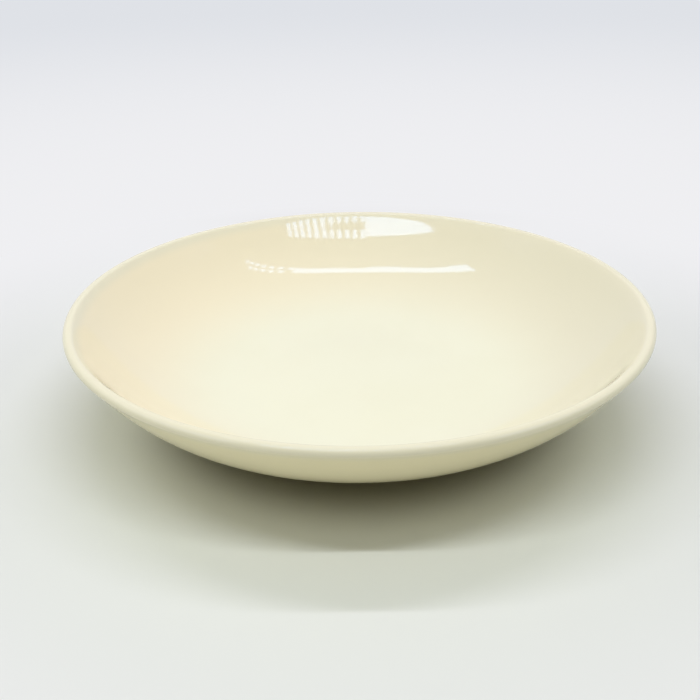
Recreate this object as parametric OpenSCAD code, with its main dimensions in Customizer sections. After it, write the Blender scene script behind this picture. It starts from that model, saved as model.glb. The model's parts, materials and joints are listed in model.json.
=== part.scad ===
// Small coupe plate: a deep round plate with no flat rim, standing on a low foot ring.
// One fired clay body carries two coats of glaze that never meet. The first covers the well,
// the lip and the underside down to the foot. The second is an island inside the foot ring.
// The tread of the foot stays bare. Every piece is a profile turned about Z, and the plate
// stands on the XY plane with its axis on Z.

/* [Plate] */
// Outer diameter across the lip
plate_d = 160; // [140:1:200]
// Height from the table to the top of the lip
plate_h = 30; // [25:0.5:38]
// Slope of the wall where it is steepest, in degrees from level
wall_a = 53; // [46:1:62]
// Diameter of the flat middle of the well
floor_d = 50; // [36:1:70]
// Pull of the well's curve towards its corner, from slack to full
well_pull = 1.2; // [0.9:0.05:1.5]

/* [Wall] */
// Thickness of the wall under the lip, glaze included
wall_t = 3; // [2.4:0.1:5]
// Thickness of the floor, glaze included
floor_t = 4; // [3:0.1:5.5]

/* [Lip] */
// Depth below the top at which the inside starts to turn over the lip
lip_h = 4.3; // [3:0.1:6]
// Share of the wall's thickness that goes to the soft inner edge, the rest to the outer edge
lip_share = 0.33; // [0.2:0.01:0.6]
// Pull of the soft inner edge towards its corner, from slack to full
lip_pull = 4; // [1.5:0.1:5]

/* [Foot] */
// Outer diameter of the bare foot ring
foot_d = 80; // [66:1:96]
// Width of the bare foot ring
foot_w = 5; // [3.5:0.1:9]
// Depth of the hollow inside the foot ring
hollow_h = 2.4; // [2:0.1:4]
// Radius where the outside of the foot runs into the underside
foot_fillet = 1.4; // [0.6:0.1:2.5]
// Radius in the corner of the hollow
hollow_fillet = 1; // [0.4:0.1:2]
// Radius of the two edges of the tread
tread_edge = 0.7; // [0.3:0.05:0.9]

/* [Glaze] */
// Thickness of the glaze
glaze_t = 0.4; // [0.2:0.05:0.6]
// Height above the table at which the glaze stops, on both sides of the foot
bare_h = 1; // [0.9:0.05:1.3]

/* [Smoothness] */
// Facets of a full turn
turn_facets = 180; // [72:12:360]
// Steps along the well, and again along the underside
wall_steps = 44; // [24:1:80]
// Steps along the inner edge of the lip, and again along the outer edge
lip_steps = 14; // [8:1:24]
// Steps along each fillet and edge of the foot
edge_steps = 6; // [4:1:12]

/* [Hidden] */
clay_colour = "#D8C6A4";
glaze_colour = "#F3EEDA";
foot_r = foot_d / 2;
hollow_r = foot_r - foot_w;
// Radii of the glazed walls on the two sides of the foot
glazed_foot_r = foot_r + glaze_t;
glazed_hollow_r = hollow_r - glaze_t;
// Height of the finished well floor above the table
floor_z = hollow_h + floor_t;

// Lip: the outer edge has one radius, and the soft inner edge runs from the wall to the top
lip_r = (1 - lip_share) * wall_t / (1 + cos(wall_a));
lip_top = [plate_d / 2 - lip_r, plate_h];
lip_corner = lip_top - [lip_share * wall_t / sin(wall_a), 0];
lip_start = lip_corner - lip_h * [1 / tan(wall_a), 1];

// Well: one curve from the flat floor to the lip, tangent to the floor and to the wall's slope
well_start = [floor_d / 2, floor_z];
well_corner = [lip_start.x - (lip_start.y - floor_z) / tan(wall_a), floor_z];

// Point at t on the conic from a to c that is tangent to both legs of the corner b
function conic(a, b, c, pull, t) =
    (pow(1 - t, 2) * a + 2 * pull * t * (1 - t) * b + pow(t, 2) * c)
    / (pow(1 - t, 2) + 2 * pull * t * (1 - t) + pow(t, 2));

// Unit vector out of the clay at the same place, on the left of the way from a to c
function conic_out(a, b, c, pull, t) =
    let (way = pull * pow(1 - t, 2) * (b - a) + t * (1 - t) * (c - a) + pull * pow(t, 2) * (c - b))
    [-way.y, way.x] / norm(way);

// Points on an arc, from one angle to another
function arc(centre, r, from, to, steps) =
    [for (i = [0:steps]) let (a = from + (to - from) * i / steps) centre + r * [cos(a), sin(a)]];

function backwards(points) = [for (i = [len(points) - 1:-1:0]) points[i]];

// The wall at t, which is 0 at the floor's edge and 1 where the lip starts. Its thickness
// eases from the floor's to the wall's.
function well_point(t) = conic(well_start, well_corner, lip_start, well_pull, t);
function well_out(t) = conic_out(well_start, well_corner, lip_start, well_pull, t);
function thickness(t) = floor_t + (wall_t - floor_t) * t * t * (3 - 2 * t);
function under_point(t) = well_point(t) - thickness(t) * well_out(t);

// The soft inner edge of the lip at t
function lip_point(t) = conic(lip_start, lip_corner, lip_top, lip_pull, t);
function lip_out(t) = conic_out(lip_start, lip_corner, lip_top, lip_pull, t);

// Foot fillet: a ball of its radius touches the foot's wall and, at fillet_t, the underside.
// The fillet is no taller than the glazed part of the wall.
well_ts = [for (i = [0:wall_steps]) i / wall_steps];
foot_wall_h = lookup(glazed_foot_r, [for (t = well_ts) under_point(t)]);
foot_fillet_r = min(foot_fillet, foot_wall_h - bare_h - glaze_t);
function fillet_centre_at(t) = under_point(t) - foot_fillet_r * well_out(t);
fillet_x = glazed_foot_r + foot_fillet_r;
fillet_t = lookup(fillet_x, [for (t = well_ts) [fillet_centre_at(t).x, t]]);
fillet_centre = [fillet_x, fillet_centre_at(fillet_t).y];
fillet_from = atan2(well_out(fillet_t).y, well_out(fillet_t).x);

// Fillet in the corner of the hollow, limited in the same way
hollow_fillet_r = min(hollow_fillet, hollow_h - bare_h - glaze_t);
hollow_fillet_centre = [glazed_hollow_r, hollow_h] - hollow_fillet_r * [1, 1];

// Outer surface at a depth below the finished one: from the axis over the floor, the wall and
// the lip, and back along the underside to the wall of the foot
function coat_line(depth) = concat(
    [[0, floor_z - depth]],
    [for (t = well_ts) well_point(t) - depth * well_out(t)],
    [for (i = [1:lip_steps - 1]) let (t = i / lip_steps) lip_point(t) - depth * lip_out(t)],
    arc(lip_top - [0, lip_r], lip_r - depth, 90, wall_a - 90, lip_steps),
    [for (i = [0:wall_steps - 1]) let (t = 1 + (fillet_t - 1) * i / wall_steps)
        under_point(t) + depth * well_out(t)],
    arc(fillet_centre, foot_fillet_r + depth, fillet_from, 180, edge_steps));

// Surface of the hollow at a depth above the finished one, from the foot's wall to the axis
function hollow_line(depth) = concat(
    arc(hollow_fillet_centre, hollow_fillet_r + depth, 0, 90, edge_steps),
    [[0, hollow_h + depth]]);

// Bare tread, from the outside of the foot to the wall of the hollow
function tread_line() = concat(
    arc([foot_r - tread_edge, tread_edge], tread_edge, 0, -90, edge_steps),
    arc([hollow_r + tread_edge, tread_edge], tread_edge, -90, -180, edge_steps));

// Rounded end of a glaze coat on a wall of the foot
function glaze_end(wall_r, from, to) = arc([wall_r, bare_h + glaze_t], glaze_t, from, to, edge_steps);

module turned(outline) {
    rotate_extrude($fn = turn_facets) polygon(outline);
}

// Fired clay in one piece: floor, wall, lip and foot ring
module clay_body() {
    color(clay_colour)
    turned(concat(coat_line(glaze_t), tread_line(), hollow_line(glaze_t)));
}

// Glaze over the well, the lip and the underside, down to the bare band of the foot
module glaze_coat() {
    color(glaze_colour)
    turned(concat(coat_line(0), glaze_end(foot_r, 0, -90), backwards(coat_line(glaze_t))));
}

// Glaze inside the foot ring
module base_glaze() {
    color(glaze_colour)
    turned(concat(glaze_end(hollow_r, -90, -180), hollow_line(0), backwards(hollow_line(glaze_t))));
}

clay_body();
glaze_coat();
base_glaze();
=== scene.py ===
import json
import math

import bmesh
import bpy
import numpy as np
from mathutils import Matrix, Vector


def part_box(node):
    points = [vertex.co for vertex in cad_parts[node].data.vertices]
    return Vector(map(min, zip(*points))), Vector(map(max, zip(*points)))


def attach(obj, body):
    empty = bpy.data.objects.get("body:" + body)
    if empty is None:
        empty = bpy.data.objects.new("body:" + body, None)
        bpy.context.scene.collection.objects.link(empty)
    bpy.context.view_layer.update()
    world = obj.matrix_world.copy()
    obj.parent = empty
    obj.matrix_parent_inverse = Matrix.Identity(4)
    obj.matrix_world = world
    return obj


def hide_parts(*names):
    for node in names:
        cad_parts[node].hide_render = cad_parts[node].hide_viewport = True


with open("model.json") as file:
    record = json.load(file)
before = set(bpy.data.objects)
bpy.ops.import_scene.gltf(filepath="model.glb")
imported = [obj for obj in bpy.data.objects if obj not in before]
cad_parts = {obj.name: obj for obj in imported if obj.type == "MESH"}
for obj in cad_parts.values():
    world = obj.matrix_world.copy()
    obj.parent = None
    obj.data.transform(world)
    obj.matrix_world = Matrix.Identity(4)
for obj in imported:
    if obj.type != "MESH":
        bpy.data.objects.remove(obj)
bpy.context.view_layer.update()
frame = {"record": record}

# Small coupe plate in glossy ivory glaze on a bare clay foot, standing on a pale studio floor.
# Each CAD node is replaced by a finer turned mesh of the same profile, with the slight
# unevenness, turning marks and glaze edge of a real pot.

MM = 0.001

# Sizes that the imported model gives
coat_low, coat_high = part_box("glaze_coat")
clay_low, clay_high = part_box("clay_body")
base_low, base_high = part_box("base_glaze")
mounts = {mount["name"]: mount for mount in frame["record"]["mounts"]}

plate_r = coat_high.x
plate_h = coat_high.z
glaze_t = coat_high.x - clay_high.x
hollow_r = base_high.x
hollow_h = base_high.z - glaze_t
bare_h = base_low.z
foot_r = 2 * mounts["foot"]["pos_m"][0] - hollow_r
floor_z = mounts["well_floor"]["pos_m"][2]

# Sizes of the profile that the model's boxes and mounts don't give
wall_slope = math.radians(53)
well_floor_r = 25 * MM
well_pull = 1.2
wall_t = 3 * MM
floor_t = floor_z - hollow_h
lip_h = 4.3 * MM
lip_share = 0.33
lip_pull = 4
foot_fillet_r = 1.4 * MM
hollow_fillet_r = 1.0 * MM
tread_edge_r = 0.7 * MM
GROOVE_DEPTH = 0.04 * MM
GROOVE_WIDTH = 0.62 * MM

# Points along each stretch of the profile, and facets of a full turn
FLOOR_STEPS = 4
WALL_STEPS = 84
LIP_STEPS = 26
EDGE_STEPS = 8
TREAD_STEPS = 30
HIDDEN_STEPS = 24
TURN_FACETS = 300
ON_AXIS = 1e-9
SHARP_ANGLE = math.radians(50)


# Profile

def point(r, z):
    return np.array([r, z])


def conic(a, b, c, pull, t):
    """Points at t on the conic from a to c that is tangent to both legs of the corner b, and
    the unit vectors out of the clay at them."""
    t = np.asarray(t)[:, None]
    weights = ((1 - t) ** 2, 2 * pull * t * (1 - t), t ** 2)
    points = (weights[0] * a + weights[1] * b + weights[2] * c) / sum(weights)
    way = pull * (1 - t) ** 2 * (b - a) + t * (1 - t) * (c - a) + pull * t ** 2 * (c - b)
    out = np.stack([-way[:, 1], way[:, 0]], axis=1) / np.linalg.norm(way, axis=1)[:, None]
    return points, out


def arc(centre, r, from_deg, to_deg, steps):
    angles = np.radians(np.linspace(from_deg, to_deg, steps + 1))
    return centre + r * np.stack([np.cos(angles), np.sin(angles)], axis=1)


lip_r = (1 - lip_share) * wall_t / (1 + math.cos(wall_slope))
lip_top = point(plate_r - lip_r, plate_h)
lip_corner = lip_top - point(lip_share * wall_t / math.sin(wall_slope), 0)
lip_start = lip_corner - lip_h * point(1 / math.tan(wall_slope), 1)
well_start = point(well_floor_r, floor_z)
well_corner = point(lip_start[0] - (lip_start[1] - floor_z) / math.tan(wall_slope), floor_z)
slope_deg = math.degrees(wall_slope)


def well(t):
    return conic(well_start, well_corner, lip_start, well_pull, t)


def underside(t):
    """Points on the underside at t and the unit vectors into the clay there."""
    points, out = well(t)
    share = t * t * (3 - 2 * t)
    return points - (floor_t + (wall_t - floor_t) * share)[:, None] * out, out


def foot_fillet():
    """Centre of the ball that touches the foot's glazed wall and the underside, and where on
    the underside it touches."""
    t = np.linspace(0, 1, 2001)
    points, out = underside(t)
    centres = points - foot_fillet_r * out
    x = foot_r + glaze_t + foot_fillet_r
    touch = float(np.interp(x, centres[:, 0], t))
    _, out = underside(np.array([touch]))
    centre = point(x, float(np.interp(x, centres[:, 0], centres[:, 1])))
    return centre, touch, math.degrees(math.atan2(out[0][1], out[0][0]))


fillet_centre, fillet_t, fillet_from = foot_fillet()
hollow_centre = point(hollow_r - glaze_t, hollow_h) - hollow_fillet_r


def coat_line(depth, wall_steps, lip_steps):
    """Outer surface at a depth below the finished one: from the axis over the well and the
    lip, and back along the underside to the wall of the foot."""
    radii = np.linspace(0, well_floor_r, FLOOR_STEPS + 1)[:-1]
    floor = np.stack([radii, np.full(FLOOR_STEPS, floor_z - depth)], axis=1)
    points, out = well(np.linspace(0, 1, wall_steps + 1))
    inside = points - depth * out
    points, out = conic(lip_start, lip_corner, lip_top, lip_pull,
                        np.linspace(0, 1, lip_steps + 1)[1:-1])
    inner_edge = points - depth * out
    outer_edge = arc(lip_top - point(0, lip_r), lip_r - depth, 90, slope_deg - 90, lip_steps)
    points, out = underside(np.linspace(1, fillet_t, wall_steps + 1)[1:-1])
    outside = points + depth * out
    fillet = arc(fillet_centre, foot_fillet_r + depth, fillet_from, 180, EDGE_STEPS)
    return np.concatenate([floor, inside, inner_edge, outer_edge, outside, fillet])


def hollow_line(depth):
    """Surface of the hollow at a depth above the finished one, from the foot's wall to the axis."""
    corner = arc(hollow_centre, hollow_fillet_r + depth, 0, 90, EDGE_STEPS)
    radii = np.linspace(hollow_centre[0], 0, FLOOR_STEPS + 1)[1:]
    return np.concatenate([corner, np.stack([radii, np.full(FLOOR_STEPS, hollow_h + depth)], axis=1)])


def tread_line():
    """Bare tread, from the outside of the foot to the wall of the hollow."""
    outer = arc(point(foot_r - tread_edge_r, tread_edge_r), tread_edge_r, 0, -90, EDGE_STEPS)
    inner = arc(point(hollow_r + tread_edge_r, tread_edge_r), tread_edge_r, -90, -180, EDGE_STEPS)
    radii = np.linspace(outer[-1][0], inner[0][0], TREAD_STEPS + 1)[1:-1]
    flat = np.stack([radii, turning_grooves(radii)], axis=1)
    return np.concatenate([outer, flat, inner])


def turning_grooves(radii):
    """Heights of the fine rings that the turning tool leaves in the tread."""
    return GROOVE_DEPTH * np.sin(math.pi * radii / GROOVE_WIDTH) ** 2


def glaze_end(wall_r, from_deg, to_deg):
    """Rounded end of a glaze coat on a wall of the foot."""
    return arc(point(wall_r, bare_h + glaze_t), glaze_t, from_deg, to_deg, EDGE_STEPS)


# Unevenness of a real pot

RIM_SAG = 0.12 * MM
RIM_PULL = 0.04 * MM
GLAZE_RUN = 0.16 * MM
# Waves of the glaze's end: how many there are round the foot, their share and their phase
RUN_WAVES = ((5, 1.0, 0.4), (11, 0.6, 1.9), (23, 0.4, 0.0))


def ease(values, low, high):
    t = np.clip((values - low) / (high - low), 0, 1)
    return t * t * (3 - 2 * t)


def uneven(points, angle):
    """A ring point's places round the axis, with the rim sunk and pulled in a little here and
    there. Nothing moves outwards or upwards, so the pot stays in its box."""
    r, z = points
    towards_rim = ease(r, well_floor_r, plate_r) * ease(z, 0, hollow_h)
    sag = RIM_SAG * towards_rim * (0.5 - 0.5 * np.cos(2 * angle + 0.7))
    pull = RIM_PULL * towards_rim * (0.5 - 0.5 * np.cos(3 * angle + 2.1))
    return r - pull, z - sag


def glaze_run(points, angle):
    """Rise and fall of the glaze's end round the foot."""
    _, z = points
    at_end = 1 - ease(z, bare_h + glaze_t, bare_h + 3 * glaze_t)
    waves = sum(share * np.sin(count * angle + phase) for count, share, phase in RUN_WAVES)
    return GLAZE_RUN * at_end * (0.5 + 0.25 * waves)


# Turned meshes

def turned(name, outline, runs=False):
    """A mesh object of a closed outline turned about Z. A point on the axis is one vertex."""
    mesh = bmesh.new()
    angles = np.arange(TURN_FACETS) * 2 * math.pi / TURN_FACETS
    rings = []
    for spot in outline:
        if spot[0] < ON_AXIS:
            rings.append([mesh.verts.new((0, 0, spot[1]))])
            continue
        r, z = uneven(spot, angles)
        if runs:
            z = z + glaze_run(spot, angles)
        places = np.stack([r * np.cos(angles), r * np.sin(angles), z], axis=1)
        rings.append([mesh.verts.new(place) for place in places])
    for here, there in zip(rings, rings[1:] + rings[:1]):
        join_rings(mesh, here, there)
    bmesh.ops.recalc_face_normals(mesh, faces=mesh.faces)
    made = finished_mesh(name, mesh)
    made.data.set_sharp_from_angle(angle=SHARP_ANGLE)
    return made


def join_rings(mesh, here, there):
    if len(here) == len(there) == 1:
        return
    for i in range(TURN_FACETS):
        j = (i + 1) % TURN_FACETS
        corners = [here[i % len(here)], here[j % len(here)],
                   there[j % len(there)], there[i % len(there)]]
        mesh.faces.new(list(dict.fromkeys(corners)))


def finished_mesh(name, mesh):
    data = bpy.data.meshes.new(name)
    mesh.to_mesh(data)
    mesh.free()
    data.shade_smooth()
    made = bpy.data.objects.new(name, data)
    bpy.context.scene.collection.objects.link(made)
    return made


# Shader nodes

def node(tree, kind, inputs=None, **settings):
    """A new shader node. Each input is given a value, or a socket that it is linked from."""
    made = tree.nodes.new("ShaderNode" + kind)
    for name, value in settings.items():
        setattr(made, name, value)
    for key, value in (inputs or {}).items():
        if isinstance(value, bpy.types.NodeSocket):
            tree.links.new(value, made.inputs[key])
        else:
            made.inputs[key].default_value = value
    return made


def maths(tree, operation, a, b=0.0):
    return node(tree, "Math", {0: a, 1: b}, operation=operation).outputs[0]


def smooth_step(tree, value, low, high):
    """0 below low and 1 above high, or the other way round where low is the larger."""
    made = node(tree, "MapRange", {"Value": value, "From Min": low, "From Max": high},
                interpolation_type="SMOOTHSTEP")
    return made.outputs["Result"]


def mixed(tree, share, a, b):
    return node(tree, "Mix", {0: share, 6: a, 7: b}, data_type="RGBA").outputs[2]


def noise(tree, place, scale, detail=2.0, **settings):
    made = node(tree, "TexNoise", {"Scale": scale, "Detail": detail}, **settings)
    tree.links.new(place, made.inputs["W" if settings.get("noise_dimensions") == "1D" else "Vector"])
    return made.outputs[0]


def distance_from_axis(tree, place):
    flat = node(tree, "VectorMath", {0: place, 1: (1, 1, 0)}, operation="MULTIPLY").outputs[0]
    return node(tree, "VectorMath", {0: flat}, operation="LENGTH").outputs["Value"]


def bumped(tree, heights):
    """A chain of bumps. Each is a height from 0 to 1 and its real depth in metres."""
    normal = None
    for height, depth in heights:
        inputs = {"Height": height, "Distance": depth}
        if normal:
            inputs["Normal"] = normal
        normal = node(tree, "Bump", inputs).outputs[0]
    return normal


def new_material(name):
    material = bpy.data.materials.new(name)
    material.use_nodes = True
    return material, material.node_tree, material.node_tree.nodes["Principled BSDF"]


# Materials

GLAZE_IVORY = (0.775, 0.76, 0.615, 1)
GLAZE_DEEP = (0.76, 0.74, 0.585, 1)
# Wall colours: partly thinner glaze, partly painted light, lighter and warmer on the left, with
# painted shade on the right
GLAZE_WALL_PAINTED_LIGHT_LEFT = (0.835, 0.75, 0.56, 1)
GLAZE_WALL_PAINTED_SHADE_RIGHT = (0.745, 0.705, 0.55, 1)
# Painted warm light on the outside that faces down, where the floor's bounce falls
GLAZE_OUTSIDE_PAINTED_LIGHT = (0.82, 0.75, 0.51, 1)
GLAZE_THIN = (0.755, 0.71, 0.555, 1)
SPECK_BROWN = (0.20, 0.15, 0.09, 1)
WALL_FROM_R = 36 * MM
WALL_TO_R = 66 * MM
# Scales of patterns are per metre
CLOUD_SCALE = 45.0
SPECK_SCALE = 260.0
SWELL_SCALE = 70.0
PEEL_SCALE = 420.0
RING_SCALE = 520.0
SWELL_DEPTH = 0.030 * MM
FINE_DEPTH = 0.0012 * MM
GLAZE_ROUGHNESS = 0.05
GLAZE_IOR = 1.5


def glaze_specks(tree, place):
    """Share of brown: a small round speck in about one cell of eighty."""
    cells = node(tree, "TexVoronoi", {"Vector": place, "Scale": SPECK_SCALE})
    lot = node(tree, "SeparateColor", {0: cells.outputs["Color"]}).outputs[0]
    rare = smooth_step(tree, lot, 0.985, 0.99)
    close = smooth_step(tree, cells.outputs["Distance"], 0.06, 0.03)
    return maths(tree, "MULTIPLY", maths(tree, "MULTIPLY", rare, close), 0.7)


def glaze_material():
    """Glossy ivory glaze: cloudy where it lies thicker in the well, warmer where it thins on the
    wall and over the lip. On the wall the warmth is also painted light, with painted light on the
    left and painted shade on the right, and painted warm light lies on the outside that faces down.
    Rare specks and faint turning rings lie under it."""
    material, tree, shader = new_material("ivory_glaze")
    place = node(tree, "TexCoord").outputs["Object"]
    radius = distance_from_axis(tree, place)
    across, _, height = node(tree, "SeparateXYZ", {0: place}).outputs
    clouds = smooth_step(tree, noise(tree, place, CLOUD_SCALE, 3.0), 0.35, 0.75)
    colour = mixed(tree, maths(tree, "MULTIPLY", clouds, 0.5), GLAZE_IVORY, GLAZE_DEEP)
    # Painted light and shade across the wall: lighter on the left, darker on the right
    wall_glaze_and_painted_light = mixed(tree, smooth_step(tree, across, -plate_r, plate_r), GLAZE_WALL_PAINTED_LIGHT_LEFT, GLAZE_WALL_PAINTED_SHADE_RIGHT)
    colour = mixed(tree, smooth_step(tree, radius, WALL_FROM_R, WALL_TO_R), colour, wall_glaze_and_painted_light)
    # Painted warm light on the surfaces that face down
    facing = node(tree, "SeparateXYZ", {0: node(tree, "TexCoord").outputs["Normal"]}).outputs["Z"]
    colour = mixed(tree, smooth_step(tree, facing, 0.05, -0.2), colour, GLAZE_OUTSIDE_PAINTED_LIGHT)
    thin = maths(tree, "MULTIPLY",
                 smooth_step(tree, radius, plate_r - 6 * MM, plate_r - 3 * MM),
                 smooth_step(tree, height, plate_h - 4 * MM, plate_h - 0.8 * MM))
    colour = mixed(tree, thin, colour, GLAZE_THIN)
    colour = mixed(tree, glaze_specks(tree, place), colour, SPECK_BROWN)
    tree.links.new(colour, shader.inputs["Base Color"])
    swell = noise(tree, place, SWELL_SCALE, 1.0)
    peel = noise(tree, place, PEEL_SCALE, 1.0)
    rings = noise(tree, radius, RING_SCALE, 2.0, noise_dimensions="1D")
    normal = bumped(tree, [(swell, SWELL_DEPTH), (peel, FINE_DEPTH), (rings, FINE_DEPTH)])
    tree.links.new(normal, shader.inputs["Normal"])
    shader.inputs["Roughness"].default_value = GLAZE_ROUGHNESS
    shader.inputs["IOR"].default_value = GLAZE_IOR
    return material


CLAY_BUFF = (0.66, 0.55, 0.40, 1)
CLAY_DARK = (0.47, 0.37, 0.25, 1)
GRAIN_SCALE = 1400.0
GRIT_SCALE = 900.0
CLAY_CLOUD_SCALE = 90.0
CLAY_RING_SCALE = 2600.0
GRAIN_DEPTH = 0.05 * MM
CLAY_RING_DEPTH = 0.03 * MM
CLAY_ROUGHNESS = 0.88


def clay_material():
    """Bare fired clay: buff, matte and grainy, with darker grit and rings from the turning."""
    material, tree, shader = new_material("bare_clay")
    place = node(tree, "TexCoord").outputs["Object"]
    radius = distance_from_axis(tree, place)
    grain = noise(tree, place, GRAIN_SCALE, 4.0)
    grit = smooth_step(tree, noise(tree, place, GRIT_SCALE, 2.0), 0.62, 0.72)
    clouds = noise(tree, place, CLAY_CLOUD_SCALE, 3.0)
    rings = noise(tree, radius, CLAY_RING_SCALE, 2.0, noise_dimensions="1D")
    colour = mixed(tree, maths(tree, "MULTIPLY", clouds, 0.6), CLAY_BUFF, CLAY_DARK)
    colour = mixed(tree, maths(tree, "MULTIPLY", grit, 0.45), colour, CLAY_DARK)
    tree.links.new(colour, shader.inputs["Base Color"])
    normal = bumped(tree, [(grain, GRAIN_DEPTH), (rings, CLAY_RING_DEPTH)])
    tree.links.new(normal, shader.inputs["Normal"])
    shader.inputs["Roughness"].default_value = CLAY_ROUGHNESS
    return material


# The plate's pieces

def add_piece(made, node_name, material):
    made.data.materials.append(material)
    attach(made, "root")
    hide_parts(node_name)


glaze = glaze_material()
clay = clay_material()

coat_outline = np.concatenate([coat_line(0, WALL_STEPS, LIP_STEPS), glaze_end(foot_r, 0, -90)[1:],
                               coat_line(glaze_t, HIDDEN_STEPS, EDGE_STEPS)[::-1]])
add_piece(turned("glaze_coat_skin", coat_outline, runs=True), "glaze_coat", glaze)

base_outline = np.concatenate([glaze_end(hollow_r, -90, -180), hollow_line(0)[1:],
                               hollow_line(glaze_t)[::-1]])
add_piece(turned("base_glaze_pool", base_outline, runs=True), "base_glaze", glaze)

clay_outline = np.concatenate([coat_line(glaze_t, HIDDEN_STEPS, EDGE_STEPS), tread_line(),
                               hollow_line(glaze_t)])
add_piece(turned("fired_clay_body", clay_outline), "clay_body", clay)


# Studio

# Lengths are in metres and radiances in W/m2/sr
FLOOR_RADIUS = 12.0
FLOOR_WHITE = (0.745, 0.76, 0.75, 1)
# Painted shadow on the floor round the foot, and the radii over which it fades out
FLOOR_PAINTED_SHADOW = (0.30, 0.29, 0.23, 1)
PAINTED_SHADOW_FROM_R = 42 * MM
PAINTED_SHADOW_TO_R = 70 * MM
BACKDROP_NEAR = (0.865, 0.865, 0.885, 1)
BACKDROP_FAR = (0.74, 0.76, 0.80, 1)
# Radii at which the floor's fill starts, is full, and has reached the far backdrop's colour
NEAR_R = 0.085
FAR_R = 0.185
FADE_R = 0.90
FLOOR_ROUGHNESS = 0.9
WORLD_FILL = (0.03, 0.03, 0.03, 1)

# Two lamp strips under the lid of a photo box, its lit walls, and a card in front of it
STRIP_H = plate_h + 4.2203 * plate_r
STRIP_SIZE = (4.7 * plate_r, 0.012)
FRONT_STRIP_Y = -1.842 * plate_r
BACK_STRIP_Y = 1.120 * plate_r
FRONT_STRIP_RADIANCE = 46.5
BACK_STRIP_RADIANCE = 38.0
FRONT_STRIP_COLOUR = (0.97, 1.0, 0.98)
BACK_STRIP_COLOUR = (1.0, 0.96, 1.10)
BOX_HALF_WIDTH = 2.4 * plate_r
BOX_FRONT_Y = -2.7 * plate_r
BOX_BACK_Y = 2.05 * plate_r
SIDE_WALL_Z = (1.25 * plate_r, 3.2 * plate_r)
BACK_WALL_Z = (0.1 * plate_r, 1.9 * plate_r)
LEFT_WALL_RADIANCE = 2.25
RIGHT_WALL_RADIANCE = 1.9
BACK_WALL_RADIANCE = 0.85
SIDE_WALL_COLOUR = (0.97, 1.0, 0.85)
BACK_WALL_COLOUR = (0.95, 0.95, 1.05)
WALL_SHEEN = (1.45, 1.60, 2.30, 1)
CARD_PLACE = (-2 * plate_r, -6 * plate_r, plate_h / 2)
CARD_SIZE = (10 * plate_r, plate_h)
CARD_RADIANCE = 7.0
CARD_COLOUR = (1.0, 1.0, 0.85)

# Rows of LEDs, in radii of the plate: the Y of the row's middle and how far its end bows
FRONT_ROW = (-1.64, 0.0)
FRONT_GLARE_ROW = (-1.83, 0.0)
BACK_ROW = (1.05, -0.105)
BACK_NEAR_ROW = (0.93, -0.105)
BACK_FAR_ROW = (1.18, -0.105)
LED_PITCH = 0.20 * plate_r
LED_HALF = 0.055 * plate_r
LED_FAN = 0.25
LED_WHITE = (0.78, 1.08, 1.72, 1)
FRONT_LED_RADIANCE = 5.2
BACK_LED_RADIANCE = 4.2


def seen_directly(tree):
    """1 for the camera and for reflections, and 0 where a surface gathers light."""
    seen = node(tree, "LightPath")
    return maths(tree, "MAXIMUM", seen.outputs["Is Camera Ray"], seen.outputs["Is Glossy Ray"])


def floor_material():
    """Pale matte floor with a painted shadow round the foot, darker towards it. Away from the
    plate, where the lamps fade, what the camera and reflections see is filled up to the backdrop's
    colour, with no more light on the plate."""
    material, tree, shader = new_material("studio_floor")
    radius = distance_from_axis(tree, node(tree, "TexCoord").outputs["Object"])
    # Painted shadow: the floor darkens towards the foot
    painted_shadow = smooth_step(tree, radius, PAINTED_SHADOW_FROM_R, PAINTED_SHADOW_TO_R)
    tree.links.new(mixed(tree, painted_shadow, FLOOR_PAINTED_SHADOW, FLOOR_WHITE), shader.inputs["Base Color"])
    shader.inputs["Roughness"].default_value = FLOOR_ROUGHNESS
    shader.inputs["Specular IOR Level"].default_value = 0.0
    filled = maths(tree, "MULTIPLY", smooth_step(tree, radius, NEAR_R, FAR_R), seen_directly(tree))
    backdrop = mixed(tree, smooth_step(tree, radius, FAR_R, FADE_R), BACKDROP_NEAR, BACKDROP_FAR)
    glow = node(tree, "Emission", {"Color": backdrop})
    blend = node(tree, "MixShader", {0: filled, 1: shader.outputs[0], 2: glow.outputs[0]})
    tree.links.new(blend.outputs[0], tree.nodes["Material Output"].inputs["Surface"])
    return material


def glowing(material, inputs):
    """The material as emission alone, which isn't sampled as a lamp."""
    tree = material.node_tree
    glow = node(tree, "Emission", inputs)
    tree.links.new(glow.outputs[0], tree.nodes["Material Output"].inputs["Surface"])
    tree.nodes.remove(tree.nodes["Principled BSDF"])
    material.cycles.emission_sampling = "NONE"
    return material


def led_material(name, radiance):
    material, _, _ = new_material(name)
    return glowing(material, {"Color": LED_WHITE, "Strength": radiance})


def wall_sheen_material():
    """Lit wall of the photo box, as bright as WALL_SHEEN in front and as the backdrop behind."""
    material, tree, _ = new_material("wall_sheen")
    along = node(tree, "SeparateXYZ", {0: node(tree, "TexCoord").outputs["Object"]}).outputs["Y"]
    fade = smooth_step(tree, along, BOX_FRONT_Y, BOX_BACK_Y)
    return glowing(material, {"Color": mixed(tree, fade, WALL_SHEEN, BACKDROP_FAR)})


def add_floor():
    mesh = bmesh.new()
    bmesh.ops.create_circle(mesh, cap_ends=True, segments=96, radius=FLOOR_RADIUS)
    floor = finished_mesh("floor", mesh)
    floor.data.materials.append(floor_material())


def add_lamp(name, place, aim, size, radiance, colour):
    """A flat lamp, upright unless it aims down. It lights and casts shadows, and its reflection
    is left to the shapes of add_glow."""
    data = bpy.data.lights.new(name, "AREA")
    data.shape = "RECTANGLE"
    data.size, data.size_y = size
    data.energy = radiance * math.pi * size[0] * size[1]
    data.color = colour
    lamp = bpy.data.objects.new(name, data)
    lamp.location = place
    lamp.rotation_euler = Vector(aim).to_track_quat("-Z", "Y").to_euler()
    lamp.visible_glossy = False
    lamp.visible_camera = False
    bpy.context.scene.collection.objects.link(lamp)


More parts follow.
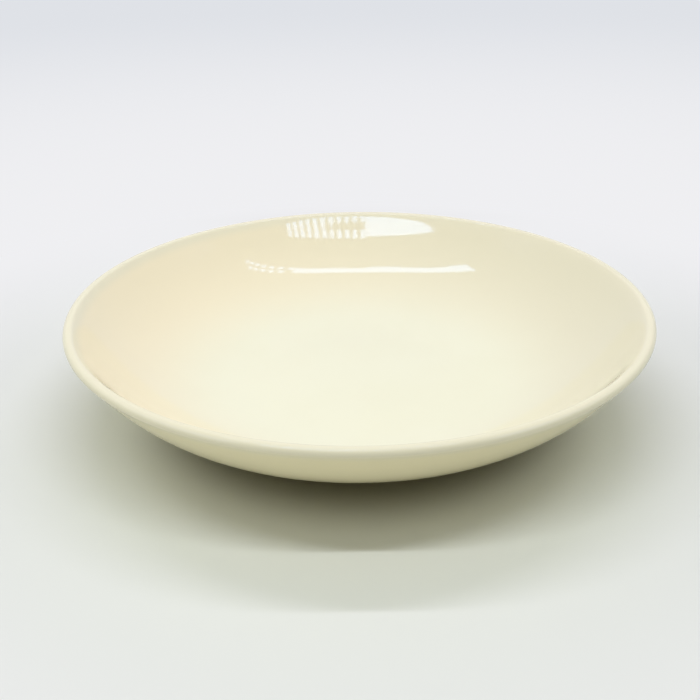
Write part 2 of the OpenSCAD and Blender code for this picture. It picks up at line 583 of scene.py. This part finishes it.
def add_wall_lamps():
    """The lit walls of the photo box, which are brightest where the light of the strips falls."""
    low, high = SIDE_WALL_Z
    size = (BOX_BACK_Y - BOX_FRONT_Y, high - low)
    middle = (BOX_BACK_Y + BOX_FRONT_Y) / 2
    for name, side, radiance in (("left_wall", -1, LEFT_WALL_RADIANCE),
                                 ("right_wall", 1, RIGHT_WALL_RADIANCE)):
        add_lamp(name, (side * BOX_HALF_WIDTH, middle, (low + high) / 2), (-side, 0, 0), size,
                 radiance, SIDE_WALL_COLOUR)
    low, high = BACK_WALL_Z
    add_lamp("back_wall", (0, BOX_BACK_Y, (low + high) / 2), (0, -1, 0),
             (2 * BOX_HALF_WIDTH, high - low), BACK_WALL_RADIANCE, BACK_WALL_COLOUR)


def add_fill_card():
    """A card on the table in front of the box, no taller than the plate, so that it lights the
    outside of the plate and not the well."""
    add_lamp("fill_card", CARD_PLACE, (0, 1, 0), CARD_SIZE, CARD_RADIANCE, CARD_COLOUR)


def add_glow(name, shapes, material):
    """Flat shapes that only reflections see. Each is a list of its corners."""
    mesh = bmesh.new()
    for corners in shapes:
        mesh.faces.new([mesh.verts.new(corner) for corner in corners])
    made = finished_mesh(name, mesh)
    made.data.materials.append(material)
    made.visible_camera = False
    made.visible_diffuse = False
    made.visible_shadow = False


def overhead(shapes):
    """Outlines of (x, y) points, lifted to the height of the strips."""
    return [[(x, y, STRIP_H) for x, y in corners] for corners in shapes]


def wall_sheen(side):
    """The lit part of a side wall of the photo box, as the glaze mirrors it."""
    low, high = SIDE_WALL_Z
    corners = ((BOX_FRONT_Y, low), (BOX_BACK_Y, low), (BOX_BACK_Y, high), (BOX_FRONT_Y, high))
    return [(side * BOX_HALF_WIDTH, y, z) for y, z in corners]


def row_y(row, x):
    """Middle of a row of LEDs. The lid that it is set in bows towards the plate at its end."""
    middle, bow = row
    return plate_r * (middle + bow * np.maximum(x / plate_r, 0) ** 2)


def led_dots(row, x_from, count, half):
    """LEDs one pitch apart from x_from on, each drawn out across the row by its glare, to half
    on either side. Far out along the row the glare leans, as if it fanned from one place."""
    half = half * plate_r
    turns = np.radians(np.arange(0, 181, 20))
    end = LED_HALF * np.stack([np.cos(turns), np.sin(turns)], axis=1)
    bar = np.concatenate([end + (0, half - LED_HALF), (0, LED_HALF - half) - end])
    lean = np.stack([-LED_FAN * bar[:, 1] / plate_r, np.zeros(len(bar))], axis=1)
    places = x_from * plate_r + LED_PITCH * np.arange(count)
    return [bar + lean * x + (x, row_y(row, x)) for x in places]


def led_glare(row, x_from, x_to, half):
    """A stretch of a row in which the LEDs run together, half wide on either side."""
    half = half * plate_r
    x = np.linspace(x_from * plate_r, x_to * plate_r, 24)
    middle = row_y(row, x)
    there = np.stack([x, middle - half], axis=1)
    back = np.stack([x, middle + half], axis=1)[::-1]
    return np.concatenate([there, back])


def front_led_shapes():
    """Single LEDs from the middle of the box to the right, and glare to the left of them."""
    dots = led_dots(FRONT_ROW, -0.14, 11, 0.29)
    return overhead(dots + [led_glare(FRONT_GLARE_ROW, -2.1, -0.21, 0.36)])


def back_led_shapes():
    """Glare along the row, wider in two places, and two lines of single LEDs at its right end."""
    dots = led_dots(BACK_NEAR_ROW, 1.01, 7, 0.10) + led_dots(BACK_FAR_ROW, 1.11, 5, 0.10)
    glare = [led_glare(BACK_ROW, -1.9, 0.93, 0.18), led_glare((0.94, 0), -0.60, -0.10, 0.16),
             led_glare((0.98, 0), -1.93, -1.45, 0.20)]
    return overhead(dots + glare)


def add_world():
    """A little light from all round. The camera and reflections see the backdrop."""
    world = bpy.data.worlds.new("studio")
    world.use_nodes = True
    tree = world.node_tree
    colour = mixed(tree, seen_directly(tree), WORLD_FILL, BACKDROP_FAR)
    tree.links.new(colour, tree.nodes["Background"].inputs["Color"])
    bpy.context.scene.world = world


add_floor()
add_lamp("front_strip", (0, FRONT_STRIP_Y, STRIP_H), (0, 0, -1), STRIP_SIZE,
         FRONT_STRIP_RADIANCE, FRONT_STRIP_COLOUR)
add_lamp("back_strip", (0, BACK_STRIP_Y, STRIP_H), (0, 0, -1), STRIP_SIZE,
         BACK_STRIP_RADIANCE, BACK_STRIP_COLOUR)
add_wall_lamps()
add_fill_card()
add_glow("front_leds", front_led_shapes(), led_material("front_led", FRONT_LED_RADIANCE))
add_glow("back_leds", back_led_shapes(), led_material("back_led", BACK_LED_RADIANCE))
add_glow("wall_sheens", [wall_sheen(-1), wall_sheen(1)], wall_sheen_material())
add_world()


# Camera

CAMERA_FROM_RIM = Vector((-0.0318, -3.2065, 1.3542)) * plate_r
CAMERA_PITCH = math.radians(25.771)
CAMERA_ROLL = math.radians(0.812)
FOCAL_PX = 1000
IMAGE_PX = 700
SENSOR_MM = 36


def add_camera():
    data = bpy.data.cameras.new("camera")
    data.sensor_width = SENSOR_MM
    data.lens = FOCAL_PX / IMAGE_PX * SENSOR_MM
    data.clip_start = 0.01
    data.clip_end = 50
    camera = bpy.data.objects.new("camera", data)
    back = Vector((0, -math.cos(CAMERA_PITCH), math.sin(CAMERA_PITCH)))
    level_up = Vector((0, math.sin(CAMERA_PITCH), math.cos(CAMERA_PITCH)))
    level_right = Vector((1, 0, 0))
    right = level_right * math.cos(CAMERA_ROLL) - level_up * math.sin(CAMERA_ROLL)
    up = level_up * math.cos(CAMERA_ROLL) + level_right * math.sin(CAMERA_ROLL)
    place = Vector((0, 0, plate_h)) + CAMERA_FROM_RIM
    camera.matrix_world = Matrix.Translation(place) @ Matrix((right, up, back)).transposed().to_4x4()
    bpy.context.scene.collection.objects.link(camera)
    bpy.context.scene.camera = camera


add_camera()
bpy.context.scene.view_settings.view_transform = "Standard"
